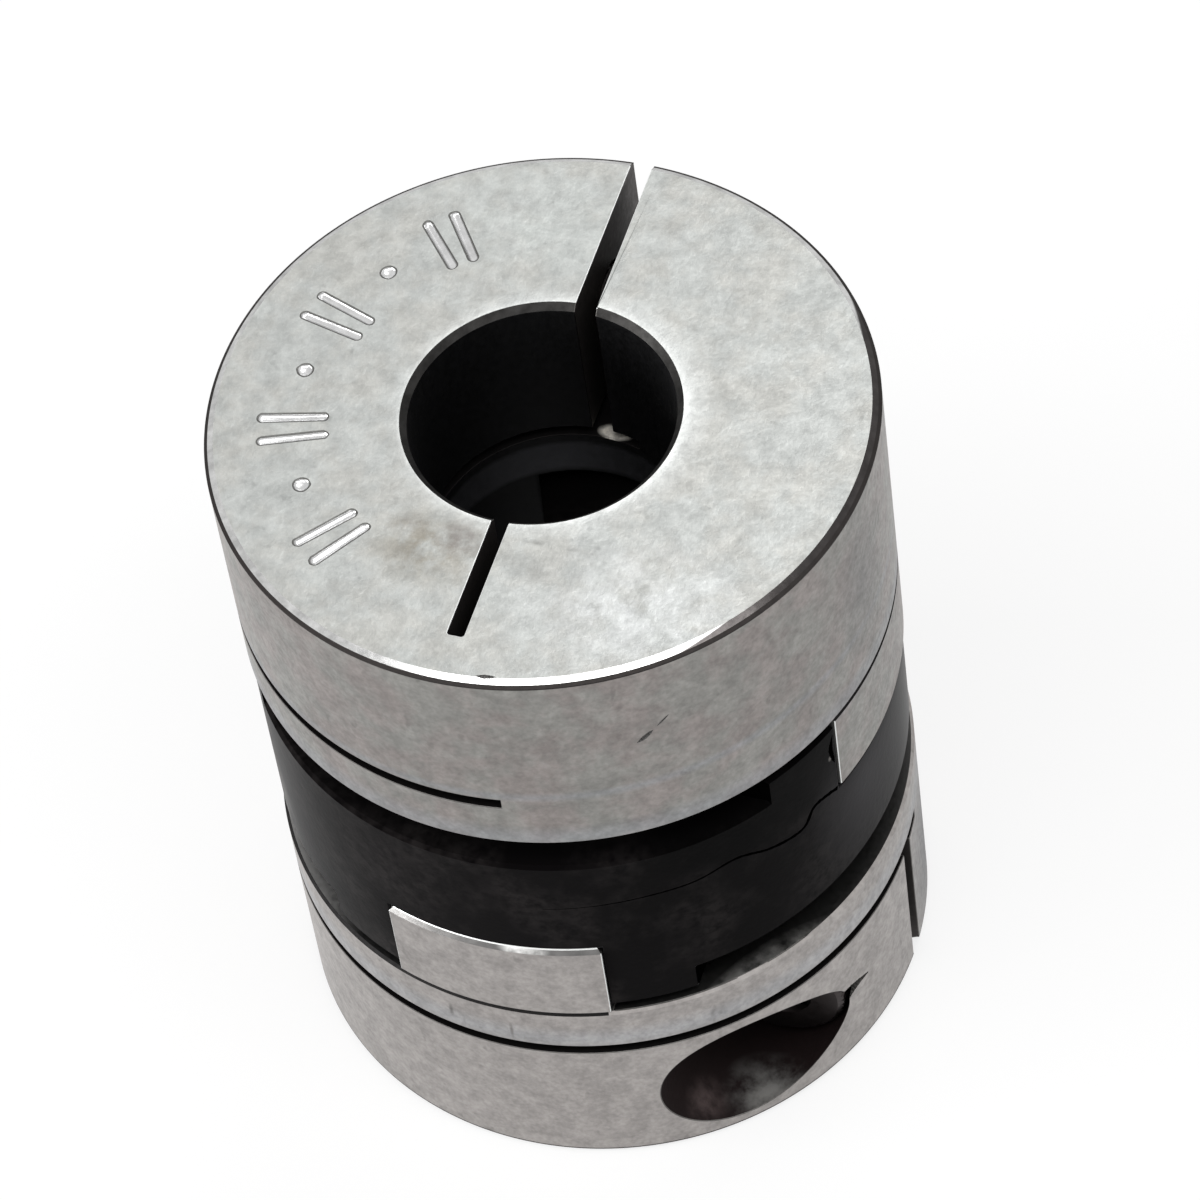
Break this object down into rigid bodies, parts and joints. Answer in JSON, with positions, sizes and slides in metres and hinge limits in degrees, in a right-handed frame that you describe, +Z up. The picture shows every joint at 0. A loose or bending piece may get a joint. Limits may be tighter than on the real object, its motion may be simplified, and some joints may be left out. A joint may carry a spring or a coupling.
{
  "type": "oldham coupling",
  "caption": "Clamp-type Oldham coupling: split aluminium hubs slide at right angles in a grooved plastic centre disc and carry torque between slightly offset shafts.",
  "frame": {"origin": "centre of the lower end face, on the shaft axis", "axes": "+Z up the shaft axis; the lower tenon runs along Y and the upper tenon along X; the lower clamp slit opens towards +X and the upper one towards +Y"},
  "size_m": [0.025, 0.025, 0.031],
  "materials": {
    "hub_aluminium": "turned and lightly blasted, handled",
    "disc_acetal": "machined black acetal",
    "screw_steel": "black oxide"
  },
  "bodies": {
    "lower_half": {"lower_hub": "hub_aluminium", "lower_clamp_screw": "screw_steel"},
    "middle": {"centre_disc": "disc_acetal"},
    "upper_half": {"upper_hub": "hub_aluminium", "upper_clamp_screw": "screw_steel"}
  },
  "joints": [
    {"name": "disc_slide", "type": "slide", "parent": "lower_half", "child": "middle", "axis": [0, 1, 0], "range_m": [-0.002, 0.002]},
    {"name": "hub_slide", "type": "slide", "parent": "middle", "child": "upper_half", "axis": [1, 0, 0], "range_m": [-0.002, 0.002]}
  ]
}
